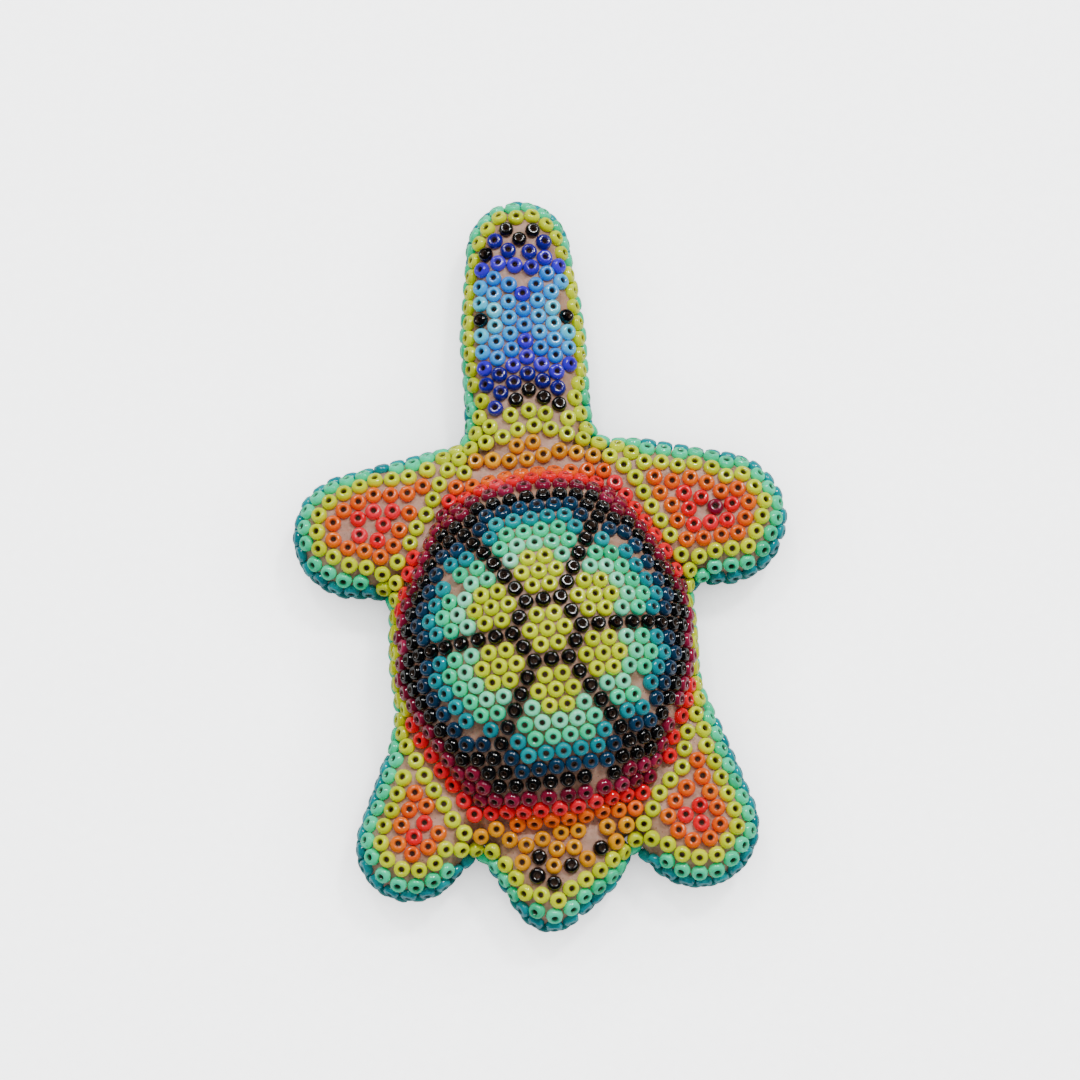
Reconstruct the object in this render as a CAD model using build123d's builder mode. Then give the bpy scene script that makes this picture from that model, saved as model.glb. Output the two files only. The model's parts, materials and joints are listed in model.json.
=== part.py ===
from build123d import *

import math
import os
import random

import numpy as np

# Beaded turtle, after the Huichol craft: a carved wooden body, a coat of beeswax over it, and glass seed
# beads pressed into the wax one by one, each with its hole square to the surface.
# Millimetres. +Y points to the head and +Z up. The origin lies under the middle of the body, on the plane
# that the lowest beads rest on.

# Size 11/0 glass seed bead
bead_diameter = 2.0
bead_thickness = 1.35
bead_hole = 0.8
bead_flat = 1.2
bead_pitch = 2.05
row_step = 1.8
ring_pitch = 2.06
bead_tilt = 2.5
bead_clearance = 0.005
seat_gap = 0.06

# Body: a slab with full-round edges, and a shell that is the upper half of an ellipsoid
wax_thickness = 0.8
edge_radius = 3.2
mid_height = bead_thickness + seat_gap + edge_radius
shell_centre = (0.4, -11.8)
shell_lean = 3.0
shell_size = (17.3, 22.0, 13.0)
torso_centre = (0.4, -11.0)
torso_size = (17.3, 26.3)
crotch_fillet = 3.0

# Half the length of the ellipse that the yellow border follows across the nape
border_length = 27.1

# Each limb is stretched over circles: x, y and radius of the waxed wood
limbs = {
    "head": [(-2.8, 38.9, 5.1), (-2.2, 28.0, 6.45), (-1.4, 15.0, 6.35)],
    "front_left_flipper": [(-22.3, 2.5, 6.35), (-11.0, 4.5, 7.6)],
    "front_right_flipper": [(21.8, 5.1, 6.85), (11.0, 6.1, 7.6)],
    "rear_left_flipper": [(-15.3, -35.3, 5.25), (-9.5, -24.5, 7.2)],
    "rear_right_flipper": [(18.6, -32.6, 6.05), (12.5, -23.0, 8.0)],
    "tail": [(1.2, -40.7, 3.3), (2.0, -34.5, 7.4)],
}

# Derived sizes
bead_lift = bead_thickness / 2 + seat_gap
row_radius = edge_radius + bead_lift
crown_height = mid_height + row_radius
belly_height = mid_height - row_radius
border_size = (shell_size[0] + bead_lift, border_length)

# Rows that wrap round the edge, as degrees down from the top of the edge's round, on a flipper
border_angle = 24
row_turn = 26
head_turn = 34
nape_range = (15.0, 21.0)
snout_range = (37.5, 44.5)
torso_turn = 54
last_angle = 172

# How close beads may lie while they settle, as shares of their diameter
snug = 0.93
tight = 0.95
loose = 1.015

# Shell pattern: for each ring of beads, the colours from one spoke to the next
shell_rings = [
    "F",
    "F",
    "KK",
    "KYY",
    "KYYY",
    "KPYYP",
    "KMPPPM",
    "KTMMMMT",
    "KNTTTTTN",
    "KKNNNNNNK",
    "RKKKKKKKKR",
]
shell_outer_rings = "RDOAAAA"
shell_nodes = {
    "F": "shell_centre_flower",
    "K": "shell_black_lines",
    "P": "shell_pale_mint",
    "M": "shell_mint",
    "T": "shell_teal",
    "N": "shell_navy",
    "R": "shell_maroon",
    "D": "shell_red",
    "O": "shell_orange",
    "A": "shell_amber",
}
shell_turn = 5.0

# Head and tail patterns: one string for each column of beads, from left to right and from the tip inwards
head_columns = [
    " KVLSESLVI",
    "IVMLSSLMVII",
    "KIVMLLLMVIK",
    "K VVMMVVIK",
    "KIVMLLLMVIK",
    "IVMLSSLMVIK",
    "  VLSESLV",
]
head_first = 0.2
head_taper = 0.8
head_nodes = {
    "K": "head_black",
    "I": "head_indigo",
    "V": "head_violet",
    "M": "head_mid_blue",
    "L": "head_light_blue",
    "S": "head_sky_blue",
    "E": "head_eyes",
}
tail_columns = ["   A", "   A", "  A", " KKA", "KAA", " KKA", "  A", "   K", "   A"]
tail_first = 0.1
tail_nodes = {"A": "tail_amber", "K": "tail_black"}

# One odd maroon bead lies in the red of the front right flipper
maroon_bead = (21.2, 5.6)

rim_rows = ["rim_mint", "rim_teal", "rim_deep_teal", "rim_navy"]
belly_bands = [
    "belly_navy",
    "belly_teal",
    "belly_mint",
    "belly_yellow",
    "belly_orange",
    "belly_red",
    "belly_maroon",
    "belly_black",
]

rng = random.Random(11)


# ---- plan of the body ----

def limb_plan(circles, inset=0.0):
    """Outline of a limb in plan: the hull of its circles."""
    with BuildSketch() as plan:
        for x, y, radius in circles:
            with Locations((x, y)):
                Circle(radius - inset)
        make_hull()
    return plan.sketch


def oval(centre, size_x, size_y):
    """Ellipse in plan, leaning with the body."""
    with BuildSketch() as plan:
        with Locations(centre):
            Ellipse(size_x, size_y, rotation=shell_lean)
    return plan.sketch


def wire_points(wire, step):
    """Points at even steps along a closed wire."""
    count = max(3, round(wire.length / step))
    places = [number / count * wire.length for number in range(count)]
    points = [wire.position_at(place, position_mode=PositionMode.LENGTH) for place in places]
    return np.array([(point.X, point.Y) for point in points])


def outward(points):
    """Unit directions out of a closed anticlockwise loop of points."""
    along = np.roll(points, -1, axis=0) - np.roll(points, 1, axis=0)
    across = np.stack([along[:, 1], -along[:, 0]], axis=1)
    return across / np.linalg.norm(across, axis=1)[:, None]


with BuildSketch() as body_plan:
    add(oval(torso_centre, *torso_size))
    for circles in limbs.values():
        add(limb_plan(circles))

outline_step = 1.0
outline = wire_points(body_plan.sketch.faces()[0].outer_wire(), outline_step)
following = np.roll(outline, -1, axis=0)
if (outline[:, 0] * following[:, 1] - outline[:, 1] * following[:, 0]).sum() < 0:
    outline = outline[::-1]

# Wax rounds out the crotches between limbs: only the hollow stretches of the outline move
for step in range(round((crotch_fillet / outline_step) ** 2)):
    move = (np.roll(outline, 1, axis=0) + np.roll(outline, -1, axis=0)) / 2 - outline
    hollow = (move * outward(outline)).sum(axis=1) > 0
    outline = outline + move * hollow[:, None]
outline_normal = outward(outline)


# ---- the waxed surface ----

def lean(points, angle):
    """Points turned about Z by an angle in degrees."""
    turn = math.radians(angle)
    matrix = np.array([[math.cos(turn), -math.sin(turn)], [math.sin(turn), math.cos(turn)]])
    turned = np.array(points, dtype=float)
    turned[:, :2] = turned[:, :2] @ matrix.T
    return turned


def plan_distance(points):
    """Signed distance in plan from the outline, negative inside, and the way out."""
    span = np.roll(outline, -1, axis=0) - outline
    away = points[:, None, :2] - outline
    share = np.clip((away * span).sum(axis=2) / (span ** 2).sum(axis=1), 0, 1)
    away = away - share[..., None] * span
    gap = np.linalg.norm(away, axis=2)
    nearest = gap.argmin(axis=1)
    rows = np.arange(len(points))
    way_out = outline_normal[nearest]
    side = np.where((away[rows, nearest] * way_out).sum(axis=1) < 0, -1.0, 1.0)
    return gap[rows, nearest] * side, way_out


def skin(points):
    """Distance of points from the waxed surface, and the directions square to it."""
    plan, way_out = plan_distance(points)
    reach = np.maximum(plan + edge_radius, 0)
    height = points[:, 2] - mid_height
    length = np.maximum(np.hypot(reach, height), 1e-6)
    slab = length - edge_radius
    slab_normal = np.column_stack([way_out * reach[:, None], height]) / length[:, None]

    middle = np.array([*shell_centre, mid_height])
    local = lean(points - middle, -shell_lean)
    size = np.tile(shell_size, (len(points), 1))
    size[:, 2] = np.where(height < 0, edge_radius, size[:, 2])
    scaled = np.linalg.norm(local / size, axis=1)
    slope = local / size ** 2
    steepness = np.maximum(np.linalg.norm(slope, axis=1), 1e-6)
    shell = scaled * (scaled - 1) / steepness
    shell_normal = lean(slope / steepness[:, None], shell_lean)

    crease = 1 - (slab_normal * shell_normal).sum(axis=1)
    fillet_size = np.maximum(crotch_fillet * np.minimum(crease, 1), 1e-6)
    blend = np.clip(1 - np.abs(slab - shell) / fillet_size, 0, 1)
    distance = np.minimum(slab, shell) - fillet_size * blend ** 2 / 4
    weight = np.where(slab < shell, 1 - blend / 2, blend / 2)[:, None]
    normal = weight * slab_normal + (1 - weight) * shell_normal
    return distance, normal / np.linalg.norm(normal, axis=1)[:, None]


def seats(points, steps=5):
    """Middles and axes of beads that lie on the waxed surface nearest to the points."""
    feet = np.array(points, dtype=float)
    for step in range(steps):
        distance, normal = skin(feet)
        feet = feet - normal * distance[:, None]
    normal = skin(feet)[1]
    return feet + normal * bead_lift, normal


# ---- pressing beads in ----

bead_nodes = []
bead_middles = np.empty((0, 3))
bead_axes = np.empty((0, 3))


def press(node, points, room=0.8):
    """Presses in a bead of the node at each point where the beads already there leave room."""
    global bead_middles, bead_axes
    for middle, axis in zip(*seats(points)):
        gaps = np.linalg.norm(bead_middles - middle, axis=1)
        if gaps.size and gaps.min() < room * bead_pitch:
            continue
        bead_middles = np.vstack([bead_middles, middle])
        bead_axes = np.vstack([bead_axes, axis])
        bead_nodes.append(node)


def gaps_between(points):
    """Distances between every two points."""
    square = (points ** 2).sum(axis=1)
    return np.sqrt(np.maximum(square[:, None] + square - 2 * points @ points.T, 0))


def limb_at(point):
    """Name of the limb nearest to a point in plan."""
    def gap(name):
        return min(math.hypot(point[0] - x, point[1] - y) - radius for x, y, radius in limbs[name])
    return min(limbs, key=gap)


def edge_turn(points):
    """How far the rows are turned down the edge beside the shell and on the head, for outline points."""
    local = lean(np.column_stack([points - torso_centre, np.zeros(len(points))]), -shell_lean)
    scaled = np.hypot(local[:, 0] / torso_size[0], local[:, 1] / torso_size[1])
    torso = np.clip(1 - (scaled - 1) * torso_size[0] / 3.5, 0, 1)
    head = np.interp(points[:, 1], [*nape_range, *snout_range], [0, 1, 1, 0])
    return torso_turn * torso + head_turn * head


def edge_row(angle):
    """Points of the row that lies at an angle down the edge's round."""
    angles = angle + edge_turn(outline)
    turn = np.radians(np.minimum(angles, 180))
    reach = row_radius * np.sin(turn) - edge_radius
    plan = outline + outline_normal * reach[:, None]
    path = np.column_stack([plan, mid_height + row_radius * np.cos(turn)])
    steps = np.linalg.norm(np.roll(path, -1, axis=0) - path, axis=1)
    travelled = np.concatenate([[0], np.cumsum(steps)])
    count = round(travelled[-1] / bead_pitch)
    places = np.arange(count) * travelled[-1] / count
    closed = np.vstack([path, path[:1]])
    points = np.column_stack([np.interp(places, travelled, closed[:, axis]) for axis in range(3)])
    down = np.interp(places, travelled, np.append(angles, angles[0]))
    return points[down < last_angle]


def shell_border():
    """Points of the border row round the foot of the shell, which is open where the tail joins it."""
    wire = oval(shell_centre, *border_size).faces()[0].outer_wire()
    plan = wire_points(wire, bead_pitch)
    tail_x, tail_y, tail_radius = limbs["tail"][-1]
    plan = plan[np.hypot(plan[:, 0] - tail_x, plan[:, 1] - tail_y) > tail_radius - 1.0]
    inside = np.clip(-plan_distance(plan)[0] / edge_radius, 0, 1)
    side_rise = 1.5
    height = mid_height + side_rise + (row_radius - side_rise) * inside
    return np.column_stack([plan, height])


def dome_point(azimuth, arc):
    """Point at an arc length from the shell's apex along an azimuth, over the dome and then level."""
    size_x, size_y, size_z = (size + bead_lift for size in shell_size)
    girth = 1 / math.hypot(math.cos(azimuth) / size_x, math.sin(azimuth) / size_y)
    angles = np.linspace(0, math.acos(row_radius / size_z), 91)
    speed = np.hypot(girth * np.cos(angles), size_z * np.sin(angles))
    lengths = np.concatenate([[0], np.cumsum((speed[1:] + speed[:-1]) / 2 * np.diff(angles))])
    angle = np.interp(arc, lengths, angles)
    reach = girth * math.sin(angle) + max(arc - lengths[-1], 0)
    local = np.array([[reach * math.cos(azimuth), reach * math.sin(azimuth), size_z * math.cos(angle)]])
    return lean(local, shell_lean)[0] + np.array([*shell_centre, mid_height])


def ring_path(ring, side, shares):
    """Points on the shell along one side of a six-sided ring, at shares of the way from corner to corner."""
    start, finish = (math.radians(shell_turn + 60 * corner) for corner in (side, side + 1))
    path = []
    for share in shares:
        x = ring * ring_pitch * ((1 - share) * math.cos(start) + share * math.cos(finish))
        y = ring * ring_pitch * ((1 - share) * math.sin(start) + share * math.sin(finish))
        path.append(dome_point(math.atan2(y, x), math.hypot(x, y)))
    return np.array(path)


def ring_points(ring):
    """Beads at even steps along a ring on the shell: the side, the share of the side and the point."""
    shares = np.linspace(0, 1, 25)
    for side in range(6 if ring else 1):
        path = ring_path(ring, side, shares)
        steps = np.linalg.norm(np.diff(path, axis=0), axis=1)
        travelled = np.concatenate([[0], np.cumsum(steps)])
        count = max(1, min(ring, round(travelled[-1] / bead_pitch)))
        places = np.interp(np.arange(count) / count * travelled[-1], travelled, shares) if ring else [0]
        for number, point in enumerate(ring_path(ring, side, places)):
            yield side, number / count, point


def bead_shell():
    """Presses in the rings of the shell from the middle outwards."""
    for ring, colours in enumerate(shell_rings):
        for side, share, point in ring_points(ring):
            colour = colours[round(share * len(colours)) % len(colours)]
            node = f"shell_petal_{side + 1}" if colour == "Y" else shell_nodes[colour]
            press(node, [point], 0.7)
    for number, colour in enumerate(shell_outer_rings):
        points = np.array([point for *_, point in ring_points(len(shell_rings) + number)])
        local = lean(points - np.array([*shell_centre, 0]), -shell_lean)
        inside = np.hypot(local[:, 0] / border_size[0], local[:, 1] / border_size[1]) < 0.99
        press(shell_nodes[colour], points[inside])


def lattice(centre, turn, reach):
    """Rows of a six-sided bead lattice in plan: the row, the place across it and the point."""
    count = math.ceil(reach / row_step)
    for row in range(-count, count + 1):
        for place in range(-count, count + 1):
            across = place + (row % 2) / 2
            offset = np.array([[across * bead_pitch, row * row_step, 0]])
            yield row, across, lean(offset, turn)[0, :2] + np.array(centre)


def bead_flipper(name):
    """Rows inside a flipper's yellow border: a ring of orange round a red middle."""
    circles = limbs[name]
    border_inset = edge_radius - row_radius * math.sin(math.radians(border_angle))
    with BuildSketch() as top:
        add(limb_plan(circles, border_inset))
        add(oval(shell_centre, *border_size), mode=Mode.SUBTRACT)
    field = top.sketch.faces().sort_by(SortBy.AREA)[-1]
    for node, inset in [(f"{name}_orange", row_step), (f"{name}_red", 2 * row_step)]:
        shrunk = offset(field, amount=-inset, kind=Kind.ARC)
        wire = shrunk.faces().sort_by(SortBy.AREA)[-1].outer_wire()
        plan = wire_points(wire, bead_pitch)
        press(node, np.column_stack([plan, np.full(len(plan), crown_height)]))
    for row, across, plan in lattice(circles[0][:2], 0, circles[0][2] * 2):
        point = Vector(plan[0], plan[1], 0)
        if field.is_inside(point) and field.outer_wire().distance_to(point) > 2.5 * row_step:
            press(f"{name}_red", [[*plan, crown_height]])


def bead_columns(name, chart, nodes, first, taper=1.0):
    """Beads in columns along a limb, with the odd columns half a step nearer to its tip."""
    tip, root = np.array(limbs[name][0][:2]), np.array(limbs[name][-1][:2])
    inward = (root - tip) / np.linalg.norm(root - tip)
    aside = np.array([inward[1], -inward[0]]) * math.copysign(1, inward[1])
    for number, colours in enumerate(chart):
        column = number - len(chart) // 2
        for row, colour in enumerate(colours):
            if colour == " ":
                continue
            along = first + (row - column % 2 / 2) * bead_pitch
            width = np.interp(along, [0, 10], [taper, 1])
            plan = tip + inward * along + aside * column * row_step * width
            press(nodes[colour], [[*plan, crown_height]], 0.7)


def bead_belly():
    """A lattice under the body, in bands that follow the outline."""
    margin = edge_radius - 1.0
    for row, across, plan in lattice(torso_centre, shell_lean + shell_turn, 60):
        inset = -plan_distance(np.array([plan]))[0][0]
        if inset > margin:
            band = min(int((inset - margin) / row_step), len(belly_bands) - 1)
            node = belly_bands[band]
            if node == "belly_navy":
                node += "_front" if plan[1] > torso_centre[1] else "_rear"
            press(node, [[*plan, belly_height]])


def spread(rounds, least):
    """Beads shove each other along the surface until they lie clear, as a fingertip settles them."""
    slack = 0.002
    for step in range(rounds):
        if step % 10 == 0:
            first, second = np.nonzero(np.triu(gaps_between(bead_middles) < 1.5 * bead_pitch, 1))
        apart = bead_middles[first] - bead_middles[second]
        gap = np.linalg.norm(apart, axis=1)
        push = apart * (np.clip(least - gap, 0, None) / gap * 0.45)[:, None]
        shift = np.zeros_like(bead_middles)
        np.add.at(shift, first, push)
        np.add.at(shift, second, -push)
        moving = np.flatnonzero(np.linalg.norm(shift, axis=1) > slack)
        if not moving.size:
            return
        feet = bead_middles[moving] + shift[moving] - bead_axes[moving] * bead_lift
        bead_middles[moving], bead_axes[moving] = seats(feet, 1)


def thin_out(closest):
    """Takes out the bead squeezed hardest in each crowded place, and tells whether any went."""
    global bead_middles, bead_axes, bead_nodes
    gap = gaps_between(bead_middles)
    np.fill_diagonal(gap, np.inf)
    squeeze = np.clip(closest - gap, 0, None).sum(axis=1)
    squeeze = np.where(squeeze > 0, squeeze + 1e-9 * np.arange(len(squeeze)), 0)
    squeeze = squeeze * np.array([0.4 if "black" in node or "eyes" in node else 1 for node in bead_nodes])
    worst = np.where(gap < 2.5 * bead_pitch, squeeze, 0).max(axis=1)
    keep = (squeeze == 0) | (squeeze < worst)
    bead_middles = bead_middles[keep]
    bead_axes = bead_axes[keep]
    bead_nodes = [node for node, kept in zip(bead_nodes, keep) if kept]
    return not keep.all()


def fill_gaps(least):
    """Presses another bead of the same colour beside any bead with an open place next to it."""
    for node, middle, axis in zip(list(bead_nodes), bead_middles, bead_axes):
        if "black" in node or "eyes" in node:
            continue
        side = np.cross(axis, [0.3, 0.5, 0.8])
        side = side / np.linalg.norm(side)
        other = np.cross(axis, side)
        turns = np.radians(np.arange(0, 360, 15))
        ring = np.cos(turns)[:, None] * side + np.sin(turns)[:, None] * other
        places = seats(middle + 1.06 * least * ring, 2)[0]
        near = bead_middles[np.linalg.norm(bead_middles - middle, axis=1) < 3 * bead_pitch]
        room = np.linalg.norm(places[:, None] - near, axis=2).min(axis=1)
        open_places = np.flatnonzero(room > least)
        if open_places.size:
            press(node, places[open_places[room[open_places].argmin()]][None], least / bead_pitch)


press("shell_border", shell_border())
for point in edge_row(border_angle):
    press(f"{limb_at(point)}_border", [point])
bead_columns("head", head_columns, head_nodes, head_first, head_taper)
bead_columns("tail", tail_columns, tail_nodes, tail_first)
bead_shell()
press("front_right_flipper_maroon", [[*maroon_bead, crown_height]])
for name in limbs:
    if name.endswith("flipper"):
        bead_flipper(name)
for number, node in enumerate(rim_rows):
    for point in edge_row(border_angle + row_turn * (number + 1)):
        press(f"{node}_{'front' if point[1] > torso_centre[1] else 'rear'}", [point])
bead_belly()
for step in range(2):
    fill_gaps(snug * bead_diameter)
    spread(40, bead_pitch)
    while thin_out(tight * bead_diameter):
        spread(10, bead_pitch)
spread(60, loose * bead_diameter)
while thin_out(bead_diameter + bead_clearance):
    spread(10, loose * bead_diameter)
fill_gaps(bead_diameter + 2 * bead_clearance)
print(len(bead_nodes), "beads")


# ---- solids ----

def rounded_slab(plan, inset):
    """A limb or the torso as a slab with full-round edges."""
    flat = 0.05
    radius = edge_radius - inset
    with BuildPart() as slab:
        with BuildSketch(Plane.XY.offset(mid_height)):
            add(plan)
        extrude(amount=radius, both=True)
        sides = slab.edges().filter_by(lambda edge: abs(edge.tangent_at(0.5).Z) < 0.5)
        fillet(sides, radius=radius - flat)
    return slab.part


def shell_dome(inset):
    """The upper half of the shell's ellipsoid."""
    with BuildPart() as dome:
        Sphere(1, arc_size1=0, align=(Align.CENTER, Align.CENTER, Align.MIN))
        scale(by=tuple(size - inset for size in shell_size))
    placed = dome.part.rotate(Axis.Z, shell_lean)
    return placed.moved(Location((*shell_centre, mid_height)))


def body(inset):
    """The body's whole form, at a depth below the waxed surface."""
    with BuildPart() as form:
        add(rounded_slab(oval(torso_centre, torso_size[0] - inset, torso_size[1] - inset), inset))
        add(shell_dome(inset))
        for circles in limbs.values():
            add(rounded_slab(limb_plan(circles, inset), inset))
    return form.part


with BuildPart() as wood_core:
    add(body(wax_thickness))

with BuildPart() as wax_coat:
    add(body(0.0))
    add(wood_core.part, mode=Mode.SUBTRACT)

with BuildPart() as seed_bead:
    with BuildSketch(Plane.XZ):
        with BuildLine():
            Polyline(
                (bead_flat / 2, -bead_thickness / 2),
                (bead_hole / 2, -bead_thickness / 2),
                (bead_hole / 2, bead_thickness / 2),
                (bead_flat / 2, bead_thickness / 2),
            )
            ThreePointArc(
                (bead_flat / 2, bead_thickness / 2),
                (bead_diameter / 2, 0),
                (bead_flat / 2, -bead_thickness / 2),
            )
        make_face()
    revolve(axis=Axis.Z)


def bead_place(number):
    """Where a bead lies, with the small tilt that pressing by hand leaves; the underside lies level."""
    normal = Vector(*bead_axes[number])
    slack = math.radians(bead_tilt) * min(1, 1 + normal.Z)
    tilt = Vector(rng.uniform(-1, 1), rng.uniform(-1, 1), rng.uniform(-1, 1)) * slack
    return Location(Plane(origin=tuple(bead_middles[number]), z_dir=normal + tilt))


os.makedirs("parts", exist_ok=True)
wood_core.part.label = "wood_core"
export_step(wood_core.part, "parts/wood_core.step")
wax_coat.part.label = "wax_coat"
export_step(wax_coat.part, "parts/wax_coat.step")

for node in sorted(set(bead_nodes)):
    places = [bead_place(number) for number, owner in enumerate(bead_nodes) if owner == node]
    with BuildPart() as beads:
        with Locations(*places):
            add(seed_bead.part)
    beads.part.label = node
    export_step(beads.part, f"parts/{node}.step")
    print(node, len(places))
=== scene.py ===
import json
import math
import random

import bmesh
import bpy
import numpy as np
from mathutils import Matrix, Vector, kdtree, noise


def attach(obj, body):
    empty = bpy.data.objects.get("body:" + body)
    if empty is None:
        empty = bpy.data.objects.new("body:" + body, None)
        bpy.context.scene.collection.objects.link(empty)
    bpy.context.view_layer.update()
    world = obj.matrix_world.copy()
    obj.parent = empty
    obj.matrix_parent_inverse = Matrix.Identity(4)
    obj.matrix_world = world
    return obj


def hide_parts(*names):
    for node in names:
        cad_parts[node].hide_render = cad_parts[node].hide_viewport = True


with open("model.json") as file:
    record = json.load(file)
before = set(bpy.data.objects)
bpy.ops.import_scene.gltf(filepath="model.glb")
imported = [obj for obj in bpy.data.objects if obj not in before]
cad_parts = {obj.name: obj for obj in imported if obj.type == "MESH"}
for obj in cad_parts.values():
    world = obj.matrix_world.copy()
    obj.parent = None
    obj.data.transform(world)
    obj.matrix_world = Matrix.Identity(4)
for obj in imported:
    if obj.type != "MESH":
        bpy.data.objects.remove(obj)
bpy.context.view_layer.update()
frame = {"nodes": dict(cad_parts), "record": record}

# A turtle of carved wood, waxed all over, with glass seed beads pressed into the wax. Metres throughout.
MM = 0.001

BEAD_RADIUS = 1.05 * MM
BEAD_HALF_THICKNESS = 0.66 * MM
BEAD_HOLE_RADIUS = 0.30 * MM
BEAD_MOUTH_RADIUS = 0.52 * MM
# The section's shoulder and the depth of its mouth, as shares of the radius and of half the thickness
BEAD_SHOULDER = (0.86, 0.74)
BEAD_MOUTH_DEPTH = 0.55
BEAD_SEGMENTS = 12
BEAD_SIZE_SPREAD = 0.02
BEAD_LENGTH_SPREAD = 0.06
BEAD_TONE_SPREAD = 0.17
BEAD_RADIUS_RANGE = (1.0 * MM, 1.1 * MM)
BLACK_BEAD_SIZE = 0.94

WAX_VOXEL = 0.45 * MM
WAX_RISE = 0.42 * MM
WAX_RIPPLE = 0.10 * MM
WAX_RIPPLE_WIDTH = 2.6 * MM
WAX_CLIMB = 0.16 * MM
WAX_CLIMB_WIDTH = 0.5 * MM
WAX_SMOOTHINGS = 2

# Corners closer than this are one corner
WELD = 0.001 * MM
CAD_WELD = 0.0001 * MM

FLOOR_SIZE = 1.5
FLOOR_GLOW = 3.6
FLOOR_SHADE_REACH = 14 * MM

# Soft boxes: where they stand, how wide they are, their watts and how bright the gloss sees their panels
RIGHT_BOX = (0.30, 0.42, 0.75)
LEFT_BOX = (-0.22, 0.42, 0.75)
BOX_SIZE = 0.12
BOX_WATTS = {"right": 4.7, "left": 2.4}
PANEL_BRIGHTNESS = {"right": 11.0, "left": 9.0}
PANEL_RADIUS = math.radians(12)
PANEL_CORE = 0.7
ROOM_GLOW = 0.50
ROOM_IN_GLOSS = 0.03

FIGURE_MIDDLE = (0.0, 0.0, 5 * MM)
CAMERA_TARGET = (-0.1 * MM, 2.1 * MM, 5 * MM)
CAMERA_TILT = math.radians(14)
CAMERA_SIDE = math.radians(-1.5)
CAMERA_DISTANCE = 0.38
VIEW_WIDTH = 131.0 * MM

rng = random.Random(7)


# ---- colours and nodes ----

def srgb(code):
    """A hex colour as linear light."""
    parts = [int(code[at:at + 2], 16) / 255 for at in (1, 3, 5)]
    return tuple(p / 12.92 if p <= 0.04045 else ((p + 0.055) / 1.055) ** 2.4 for p in parts) + (1.0,)


def add_node(tree, kind, links=None, **settings):
    """Adds a shader node, sets its fields and sockets, and links its inputs."""
    node = tree.nodes.new(kind)
    for name, value in settings.items():
        if hasattr(node, name):
            setattr(node, name, value)
        else:
            node.inputs[name.replace("_", " ")].default_value = value
    for name, source in (links or {}).items():
        tree.links.new(source, node.inputs[name])
    return node


def new_material(name):
    """An empty node material with its output, and the Object coordinates that its patterns read."""
    material = bpy.data.materials.new(name)
    material.use_nodes = True
    tree = material.node_tree
    tree.nodes.clear()
    place = add_node(tree, "ShaderNodeTexCoord").outputs["Object"]
    return material, tree, place


def finish_material(tree, surface):
    add_node(tree, "ShaderNodeOutputMaterial", {"Surface": surface.outputs[0]})


def ramp(tree, source, stops):
    """A colour ramp through (position, colour) stops."""
    node = add_node(tree, "ShaderNodeValToRGB", {"Fac": source})
    elements = node.color_ramp.elements
    while len(elements) < len(stops):
        elements.new(0.5)
    for element, (position, colour) in zip(elements, stops):
        element.position = position
        element.color = colour
    return node.outputs["Color"]


# ---- materials ----

def pressed_glass(name, dark, main, light, lustre, cloud):
    """Opaque soda-lime glass, drawn, cut and tumbled hot. The eye sees a wet gloss on a soft-edged ring,
    a colour that differs a little from bead to bead, and a faint swirl where the rod was drawn."""
    material, tree, place = new_material(name)
    tone = add_node(tree, "ShaderNodeAttribute", attribute_name="bead_tone").outputs["Fac"]
    mouth_shade = add_node(tree, "ShaderNodeAttribute", attribute_name="bead_mouth_shade").outputs["Fac"]
    # The rod's swirl is about 0.7 mm wide
    swirl = add_node(tree, "ShaderNodeTexNoise", {"Vector": place}, Scale=1400.0, Detail=3.0, Distortion=0.8)
    shade = add_node(tree, "ShaderNodeMath", {0: swirl.outputs["Fac"], 2: tone}, operation="MULTIPLY_ADD")
    shade.inputs[1].default_value = cloud
    level = add_node(tree, "ShaderNodeMath", {0: shade.outputs[0]}, operation="SUBTRACT")
    level.inputs[1].default_value = cloud / 2
    colour = ramp(tree, level.outputs[0], [(0.0, srgb(dark)), (0.5, srgb(main)), (1.0, srgb(light))])
    # Painted shade: the inside of the hole is darkened towards a dark wax brown, standing in for the shade in
    # the hole, with a tint of the wax dust that settles there
    mouth_shaded = add_node(tree, "ShaderNodeMix", {"Factor": mouth_shade, 6: colour}, data_type="RGBA")
    mouth_shaded.inputs[7].default_value = srgb("#4A3A30")
    # Fire polish leaves ripples of about 0.3 mm, drawn deeper than life so that they show
    ripple = add_node(tree, "ShaderNodeTexNoise", {"Vector": place}, Scale=2600.0, Detail=2.0)
    relief = {"Height": ripple.outputs["Fac"]}
    bump = add_node(tree, "ShaderNodeBump", relief, Strength=0.06, Distance=0.05 * MM)
    gloss = add_node(tree, "ShaderNodeMapRange", {"Value": swirl.outputs["Fac"]})
    gloss.inputs["To Min"].default_value = 0.05
    gloss.inputs["To Max"].default_value = 0.14
    surface = add_node(
        tree,
        "ShaderNodeBsdfPrincipled",
        {"Base Color": mouth_shaded.outputs[2], "Roughness": gloss.outputs[0], "Normal": bump.outputs[0]},
        IOR=1.52,
    )
    surface.inputs["Coat Weight"].default_value = lustre
    surface.inputs["Coat Roughness"].default_value = 0.06
    finish_material(tree, surface)
    return material


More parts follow.
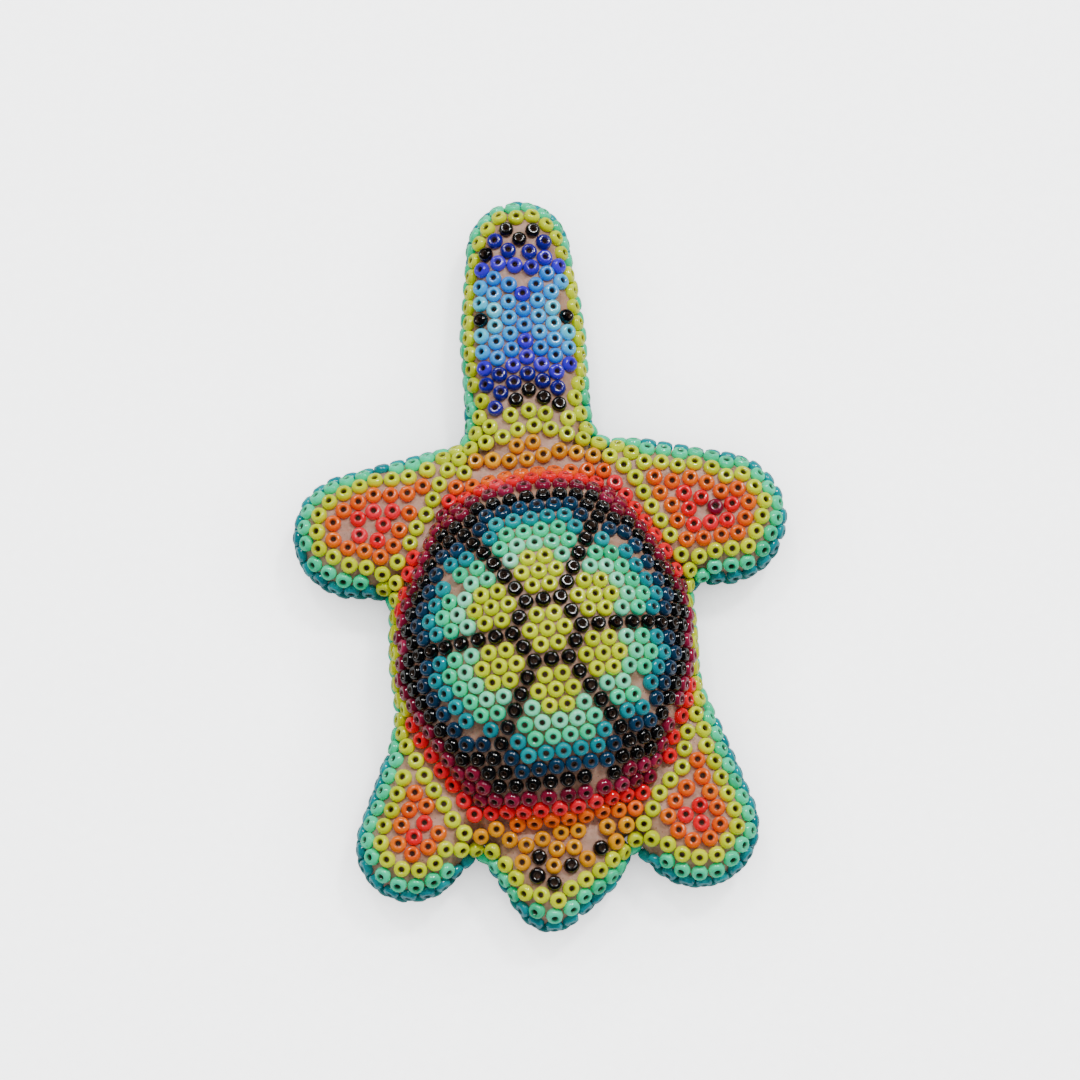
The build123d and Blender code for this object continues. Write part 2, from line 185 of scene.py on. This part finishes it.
def beeswax():
    """Beeswax kneaded with pine resin and spread by thumb. The eye sees a warm pinkish-brown, half-clear
    skin with a dull sheen, thumb ripples and specks of wood dust."""
    material, tree, place = new_material("beeswax_thumb_spread")
    # Thumb ripples are 2 to 3 mm wide
    cloud = add_node(tree, "ShaderNodeTexNoise", {"Vector": place}, Scale=380.0, Detail=4.0)
    colour = ramp(
        tree,
        cloud.outputs["Fac"],
        [(0.3, srgb("#96705A")), (0.55, srgb("#BA907A")), (0.75, srgb("#CEAA96"))],
    )
    # Dust specks are 0.1 to 0.2 mm across
    speck = add_node(tree, "ShaderNodeTexVoronoi", {"Vector": place}, Scale=1500.0)
    speck_mask = ramp(tree, speck.outputs["Distance"], [(0.05, (1, 1, 1, 1)), (0.16, (0, 0, 0, 1))])
    mixed = add_node(tree, "ShaderNodeMix", {"Factor": speck_mask, 6: colour}, data_type="RGBA")
    mixed.inputs[7].default_value = srgb("#6B4E3D")
    grain = add_node(tree, "ShaderNodeTexNoise", {"Vector": place}, Scale=3200.0, Detail=3.0)
    relief = {"Height": grain.outputs["Fac"]}
    bump = add_node(tree, "ShaderNodeBump", relief, Strength=0.35, Distance=0.08 * MM)
    sheen = add_node(tree, "ShaderNodeMapRange", {"Value": cloud.outputs["Fac"]})
    sheen.inputs["To Min"].default_value = 0.35
    sheen.inputs["To Max"].default_value = 0.6
    surface = add_node(
        tree,
        "ShaderNodeBsdfPrincipled",
        {"Base Color": mixed.outputs[2], "Roughness": sheen.outputs[0], "Normal": bump.outputs[0]},
        IOR=1.44,
    )
    surface.inputs["Subsurface Weight"].default_value = 0.25
    surface.inputs["Subsurface Scale"].default_value = 0.8 * MM
    finish_material(tree, surface)
    return material


def copal_wood():
    """Light copal wood, cut with a knife and sanded. The eye sees pale straight grain along the body."""
    material, tree, place = new_material("copal_wood_sanded")
    # Growth rings are about 1.6 mm apart and run from head to tail
    stretched = add_node(tree, "ShaderNodeMapping", {"Vector": place}, Scale=(1.0, 0.06, 1.0))
    rings = add_node(tree, "ShaderNodeTexWave", {"Vector": stretched.outputs[0]}, Scale=100.0, Distortion=3.0)
    colour = ramp(tree, rings.outputs["Fac"], [(0.1, srgb("#B98F5E")), (0.9, srgb("#E2C79B"))])
    fibre = add_node(tree, "ShaderNodeTexNoise", {"Vector": stretched.outputs[0]}, Scale=2500.0, Detail=3.0)
    relief = {"Height": fibre.outputs["Fac"]}
    bump = add_node(tree, "ShaderNodeBump", relief, Strength=0.3, Distance=0.05 * MM)
    surface = add_node(
        tree,
        "ShaderNodeBsdfPrincipled",
        {"Base Color": colour, "Normal": bump.outputs[0]},
        Roughness=0.62,
    )
    finish_material(tree, surface)
    return material


def studio_paper():
    """A pale paper sweep under the figure: matt, with the faintest tooth."""
    material, tree, place = new_material("studio_paper")
    tooth = add_node(tree, "ShaderNodeTexNoise", {"Vector": place}, Scale=900.0, Detail=3.0)
    colour = ramp(tree, tooth.outputs["Fac"], [(0.3, srgb("#F4F5F6")), (0.7, srgb("#F8F9FA"))])
    # The paper is given a glow, and an occlusion mask dims it near the figure: a painted shadow. Only the
    # lens sees the glow
    shade = add_node(tree, "ShaderNodeAmbientOcclusion", Distance=FLOOR_SHADE_REACH)
    shade.samples = 8
    lens = add_node(tree, "ShaderNodeLightPath").outputs["Is Camera Ray"]
    glow_with_painted_shadow = add_node(tree, "ShaderNodeMath", {0: shade.outputs["AO"], 1: lens}, operation="MULTIPLY")
    strength = add_node(tree, "ShaderNodeMath", {0: glow_with_painted_shadow.outputs[0]}, operation="MULTIPLY")
    strength.inputs[1].default_value = FLOOR_GLOW
    surface = add_node(
        tree,
        "ShaderNodeBsdfPrincipled",
        {"Base Color": colour, "Emission Color": colour, "Emission Strength": strength.outputs[0]},
        Roughness=0.9,
    )
    finish_material(tree, surface)
    return material


# Glass colours: darkest, usual and lightest bead of the bunch, lustre coat and depth of the swirl
GLASS = {
    "yellow": ("#BECA00", "#DCEC00", "#EEFA00", 0.0, 0.30),
    "mint": ("#00C48A", "#04EEAC", "#44F8C4", 0.0, 0.30),
    "pale_mint": ("#50E8B0", "#7CFFCC", "#A4FFDE", 0.0, 0.30),
    "teal": ("#007886", "#0096A2", "#0CB0B6", 0.0, 0.35),
    "deep_teal": ("#00646A", "#008486", "#009E9A", 0.0, 0.35),
    "navy": ("#0A2440", "#113654", "#1A4C70", 0.2, 0.40),
    "black": ("#020202", "#050506", "#0C0C10", 0.2, 0.20),
    "maroon": ("#681028", "#8A1436", "#AA2450", 0.3, 0.40),
    "red": ("#E80018", "#FF0022", "#FF2840", 0.0, 0.30),
    "orange": ("#F05000", "#FF6600", "#FF7E00", 0.0, 0.30),
    "amber": ("#D08400", "#F0A000", "#FFB800", 0.0, 0.35),
    "indigo": ("#140C60", "#201288", "#3020A8", 0.2, 0.35),
    "violet": ("#3014BC", "#401CDC", "#5234F4", 0.0, 0.35),
    "mid_blue": ("#1474D4", "#2290F4", "#3CA8FF", 0.0, 0.35),
    "light_blue": ("#1C98F4", "#34B4FF", "#5CC8FF", 0.0, 0.30),
    "sky_blue": ("#34C4FF", "#54E0FF", "#80ECFF", 0.0, 0.30),
}
glass_materials = {
    name: pressed_glass(f"seed_bead_glass_{name}", *values) for name, values in GLASS.items()
}


# ---- beads ----

def node_triangles(node):
    """Corners of a CAD node's triangles, as an array of triangles by corners by axes."""
    mesh = frame["nodes"][node].data
    mesh.calc_loop_triangles()
    points = np.empty(len(mesh.vertices) * 3)
    mesh.vertices.foreach_get("co", points)
    corners = np.empty(len(mesh.loop_triangles) * 3, dtype=np.int64)
    mesh.loop_triangles.foreach_get("vertices", corners)
    return points.reshape(-1, 3)[corners].reshape(-1, 3, 3)


def solids_of(triangles):
    """Number of the solid that each triangle belongs to: triangles that share corners are one solid."""
    keys = np.round(triangles.reshape(-1, 3) / CAD_WELD).astype(np.int64)
    faces = np.unique(keys, axis=0, return_inverse=True)[1].reshape(-1, 3)
    label = np.arange(faces.max() + 1)
    while True:
        lowest = label[faces].min(axis=1)
        previous = label.copy()
        np.minimum.at(label, faces.ravel(), np.repeat(lowest, 3))
        label = label[label]
        if (label == previous).all():
            return np.unique(label[faces[:, 0]], return_inverse=True)[1]


def bead_seats(node):
    """Middle and hole axis of every bead in a CAD node, from the spread of its surface."""
    triangles = node_triangles(node)
    solid = solids_of(triangles)
    centres = triangles.mean(axis=1)
    first, second, third = triangles.swapaxes(0, 1)
    area = np.linalg.norm(np.cross(second - first, third - first), axis=1)
    total = np.bincount(solid, area)
    middle = np.stack([np.bincount(solid, area * along) / total for along in centres.T], axis=1)
    away = centres - middle[solid]
    spread = np.empty((len(total), 3, 3))
    for row in range(3):
        for column in range(3):
            spread[:, row, column] = np.bincount(solid, area * away[:, row] * away[:, column]) / total
    axes = np.linalg.eigh(spread)[1][:, :, 0]
    return [(Vector(point), Vector(axis)) for point, axis in zip(middle, axes)]


def bead_mesh():
    """One seed bead about Z: a soft-edged ring, spun from half of its section."""
    bm = bmesh.new()
    shoulder_radius, shoulder_height = BEAD_SHOULDER
    # Half of the section, from the hole round the outside and back
    section = [
        (BEAD_HOLE_RADIUS, BEAD_MOUTH_DEPTH),
        (BEAD_MOUTH_RADIUS, 1.0),
        (BEAD_RADIUS * shoulder_radius, shoulder_height),
        (BEAD_RADIUS, 0.0),
        (BEAD_RADIUS * shoulder_radius, -shoulder_height),
        (BEAD_MOUTH_RADIUS, -1.0),
        (BEAD_HOLE_RADIUS, -BEAD_MOUTH_DEPTH),
    ]
    points = [bm.verts.new((radius, 0, height * BEAD_HALF_THICKNESS)) for radius, height in section]
    edges = [bm.edges.new(pair) for pair in zip(points, points[1:] + points[:1])]
    bmesh.ops.spin(
        bm,
        geom=points + edges,
        cent=(0, 0, 0),
        axis=(0, 0, 1),
        angle=math.tau,
        steps=BEAD_SEGMENTS,
        use_merge=True,
    )
    bmesh.ops.remove_doubles(bm, verts=bm.verts, dist=WELD)
    bmesh.ops.recalc_face_normals(bm, faces=bm.faces)
    for face in bm.faces:
        face.smooth = True
    mesh = bpy.data.meshes.new("bead")
    bm.to_mesh(mesh)
    bm.free()
    return mesh


def set_values(mesh, name, values):
    """A number for each vertex, which a material can read by name."""
    attribute = mesh.attributes.new(name, "FLOAT", "POINT")
    attribute.data.foreach_set("value", np.asarray(values, dtype=np.float32))


def room_for_bead(middle):
    """Half of the usual distance to a bead's three nearest neighbours."""
    gaps = [gap for point, number, gap in seat_tree.find_n(middle, 4)[1:]]
    return sum(gaps) / len(gaps) / 2


def press_beads(node, seats, template, mouth_shade, size_share):
    """The beads of a CAD node as one piece, each a little different in size, turn and tone. Wider beads
    are picked for a looser row."""
    bm = bmesh.new()
    tones = []
    low, high = BEAD_RADIUS_RANGE
    for middle, axis in seats:
        size = min(max(room_for_bead(middle), low), high) / BEAD_RADIUS * size_share
        size *= 1 + rng.uniform(-BEAD_SIZE_SPREAD, BEAD_SIZE_SPREAD)
        turn = Matrix.Rotation(rng.uniform(0, math.tau), 4, "Z")
        length = 1 + rng.uniform(-BEAD_LENGTH_SPREAD, BEAD_LENGTH_SPREAD)
        stretch = Matrix.Diagonal((size, size, length, 1))
        stand = Vector((0, 0, 1)).rotation_difference(axis).to_matrix().to_4x4()
        bead = template.copy()
        bead.transform(Matrix.Translation(middle) @ stand @ turn @ stretch)
        bm.from_mesh(bead)
        bpy.data.meshes.remove(bead)
        tones.append(min(max(rng.gauss(0.5, BEAD_TONE_SPREAD), 0.05), 0.95))
    mesh = bpy.data.meshes.new(f"{node}_beads")
    bm.to_mesh(mesh)
    bm.free()
    set_values(mesh, "bead_tone", np.repeat(tones, len(template.vertices)))
    set_values(mesh, "bead_mouth_shade", np.tile(mouth_shade, len(seats)))
    piece = bpy.data.objects.new(f"{node}_beads", mesh)
    bpy.context.scene.collection.objects.link(piece)
    return piece


def place_piece(piece, material, node):
    """Gives a finished piece its material and ties it to the frame."""
    piece.data.materials.append(material)
    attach(piece, "root")
    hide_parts(node)


slots = {part["node"]: part["material_slot"] for part in frame["record"]["subparts"]}
template = bead_mesh()
# The painted shade in a bead's mouth, tinted with wax dust, covers 85% of the glass
mouth_shade = [
    0.85 if math.hypot(*vertex.co[:2]) < BEAD_HOLE_RADIUS * 1.1 else 0.0 for vertex in template.vertices
]
seats_of = {node: bead_seats(node) for node, slot in slots.items() if slot.startswith("glass_")}
seat_tree = kdtree.KDTree(sum(len(seats) for seats in seats_of.values()))
for number, (middle, axis) in enumerate(seat for seats in seats_of.values() for seat in seats):
    seat_tree.insert(middle, number)
seat_tree.balance()

for node, seats in seats_of.items():
    glass = slots[node].removeprefix("glass_")
    size_share = BLACK_BEAD_SIZE if glass == "black" else 1.0
    beads = press_beads(node, seats, template, mouth_shade, size_share)
    place_piece(beads, glass_materials[glass], node)


# ---- wax ----

def wax_bed():
    """The wax as it stands between the beads: raised past their lower edges, rippled, and drawn up them."""
    triangles = node_triangles("wax_coat")
    solid = solids_of(triangles)
    shells = [triangles[solid == number] for number in range(solid.max() + 1)]
    outer = max(shells, key=lambda shell: np.ptp(shell.reshape(-1, 3), axis=0).sum())
    corners = outer.reshape(-1, 3)
    mesh = bpy.data.meshes.new("wax_bed")
    mesh.from_pydata(corners.tolist(), [], np.arange(len(corners)).reshape(-1, 3).tolist())
    bm = bmesh.new()
    bm.from_mesh(mesh)
    bmesh.ops.remove_doubles(bm, verts=bm.verts, dist=WELD)
    bm.to_mesh(mesh)
    piece = bpy.data.objects.new("wax_bed", mesh)
    bpy.context.scene.collection.objects.link(piece)
    remesh = piece.modifiers.new("even_net", "REMESH")
    remesh.mode = "VOXEL"
    remesh.voxel_size = WAX_VOXEL
    graph = bpy.context.evaluated_depsgraph_get()
    net = bpy.data.meshes.new_from_object(piece.evaluated_get(graph))
    piece.modifiers.clear()
    piece.data = net

    bm.clear()
    bm.from_mesh(net)
    every_axis = {"use_axis_x": True, "use_axis_y": True, "use_axis_z": True}
    for step in range(WAX_SMOOTHINGS):
        bmesh.ops.smooth_vert(bm, verts=bm.verts, factor=0.5, **every_axis)
    bm.normal_update()
    for vertex in bm.verts:
        gap = seat_tree.find(vertex.co + vertex.normal * BEAD_HALF_THICKNESS)[2]
        climb = WAX_CLIMB * max(0.0, 1 - abs(gap - BEAD_RADIUS) / WAX_CLIMB_WIDTH)
        ripple = WAX_RIPPLE * noise.noise(vertex.co / WAX_RIPPLE_WIDTH)
        vertex.co += vertex.normal * (WAX_RISE + climb + ripple)
    for face in bm.faces:
        face.smooth = True
    bm.to_mesh(net)
    bm.free()
    return piece


place_piece(wax_bed(), beeswax(), "wax_coat")

wood = frame["nodes"]["wood_core"]
wood.data.materials.clear()
wood.data.materials.append(copal_wood())


# ---- floor, light and camera ----

def flat_floor(size):
    """A square of paper under the figure."""
    bm = bmesh.new()
    bmesh.ops.create_grid(bm, x_segments=1, y_segments=1, size=size)
    mesh = bpy.data.meshes.new("floor")
    bm.to_mesh(mesh)
    bm.free()
    floor = bpy.data.objects.new("floor", mesh)
    bpy.context.scene.collection.objects.link(floor)
    floor.data.materials.append(studio_paper())


def soft_box(name, place, target, size, power):
    """A square soft box aimed at the figure."""
    light = bpy.data.lights.new(name, "AREA")
    light.shape = "SQUARE"
    light.size = size
    light.energy = power
    lamp = bpy.data.objects.new(name, light)
    bpy.context.scene.collection.objects.link(lamp)
    lamp.location = place
    lamp.rotation_euler = (Vector(target) - Vector(place)).to_track_quat("-Z", "Y").to_euler()


def aim_camera(target, tilt, side, distance, view_width):
    """A camera above the figure, tilted from straight down towards the tail and to one side."""
    camera = bpy.data.objects.new("camera", bpy.data.cameras.new("camera"))
    bpy.context.scene.collection.objects.link(camera)
    offset = Vector((math.sin(side), -math.sin(tilt), math.cos(tilt) * math.cos(side))).normalized()
    camera.location = Vector(target) + offset * distance
    forward = -offset
    right = forward.cross(Vector((0, 1, 0))).normalized()
    up = right.cross(forward)
    turn = Matrix((right, up, -forward)).transposed().to_4x4()
    camera.matrix_world = Matrix.Translation(camera.location) @ turn
    camera.data.sensor_width = 36.0
    camera.data.lens = camera.data.sensor_width * distance / view_width
    camera.data.clip_start = 10 * MM
    camera.data.clip_end = 10.0
    bpy.context.scene.camera = camera


def panel_glow(tree, direction, place, strength):
    """Brightness of a soft box's front panel as the gloss sees it, fading at the panel's edge."""
    facing = add_node(tree, "ShaderNodeVectorMath", {0: direction}, operation="DOT_PRODUCT")
    facing.inputs[1].default_value = Vector(place).normalized()
    edge = {"Value": facing.outputs["Value"]}
    panel = add_node(tree, "ShaderNodeMapRange", edge, interpolation_type="SMOOTHSTEP")
    panel.inputs["From Min"].default_value = math.cos(PANEL_RADIUS)
    panel.inputs["From Max"].default_value = math.cos(PANEL_RADIUS * PANEL_CORE)
    panel.inputs["To Max"].default_value = strength
    return panel


def studio_world():
    """Even light from all round. The gloss sees a dark room instead, with the soft boxes' front panels."""
    world = bpy.data.worlds.new("studio")
    world.use_nodes = True
    tree = world.node_tree
    tree.nodes.clear()
    direction = add_node(tree, "ShaderNodeTexCoord").outputs["Generated"]
    right_panel = panel_glow(tree, direction, RIGHT_BOX, PANEL_BRIGHTNESS["right"])
    right_panel.inputs["To Min"].default_value = ROOM_IN_GLOSS
    left_panel = panel_glow(tree, direction, LEFT_BOX, PANEL_BRIGHTNESS["left"])
    panels = {0: right_panel.outputs[0], 1: left_panel.outputs[0]}
    shine = add_node(tree, "ShaderNodeMath", panels, operation="ADD")
    glossy = add_node(tree, "ShaderNodeLightPath").outputs["Is Glossy Ray"]
    strength = add_node(tree, "ShaderNodeMapRange", {"Value": glossy, "To Max": shine.outputs[0]})
    strength.inputs["To Min"].default_value = ROOM_GLOW
    light = add_node(tree, "ShaderNodeBackground", {"Strength": strength.outputs[0]})
    light.inputs["Color"].default_value = (1.0, 1.0, 1.0, 1.0)
    add_node(tree, "ShaderNodeOutputWorld", {"Surface": light.outputs[0]})
    bpy.context.scene.world = world


flat_floor(FLOOR_SIZE)
soft_box("right_soft_box", RIGHT_BOX, FIGURE_MIDDLE, BOX_SIZE, BOX_WATTS["right"])
soft_box("left_soft_box", LEFT_BOX, FIGURE_MIDDLE, BOX_SIZE, BOX_WATTS["left"])
studio_world()
aim_camera(CAMERA_TARGET, CAMERA_TILT, CAMERA_SIDE, CAMERA_DISTANCE, VIEW_WIDTH)
